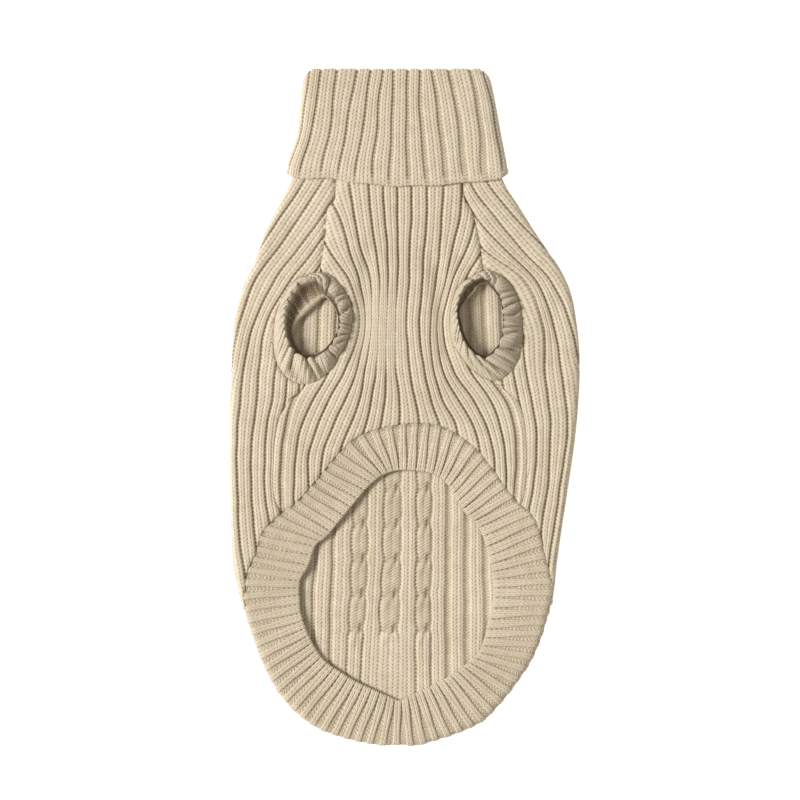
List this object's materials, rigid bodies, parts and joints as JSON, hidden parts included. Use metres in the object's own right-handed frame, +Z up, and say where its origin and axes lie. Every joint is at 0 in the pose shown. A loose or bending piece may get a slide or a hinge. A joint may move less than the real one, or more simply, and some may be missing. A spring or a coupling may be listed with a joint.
{
  "type": "dog sweater",
  "caption": "Dog's rib-knit turtleneck sweater in oatmeal yarn, laid flat belly side up, with gathered leg cuffs and a wide ribbed hem band round the tail-end opening.",
  "frame": {"origin": "under the middle of the garment, on the surface it lies on", "axes": "+X to the right of a viewer above, +Y along the garment toward the collar, +Z up out of the surface it lies on"},
  "size_m": [0.2191, 0.4228, 0.0158],
  "materials": {
    "rib_knit": "matte 2 by 2 rib knit in oatmeal yarn",
    "collar_knit": "matte 2 by 2 rib knit in oatmeal yarn, doubled",
    "cuff_knit": "matte fine knit, gathered",
    "band_knit": "matte close rib knit"
  },
  "bodies": {
    "root": {"back_panel": "rib_knit", "belly_panel": "rib_knit", "collar": "collar_knit", "leg_cuff_left": "cuff_knit", "leg_cuff_right": "cuff_knit", "hem_band": "band_knit"}
  },
  "joints": []
}
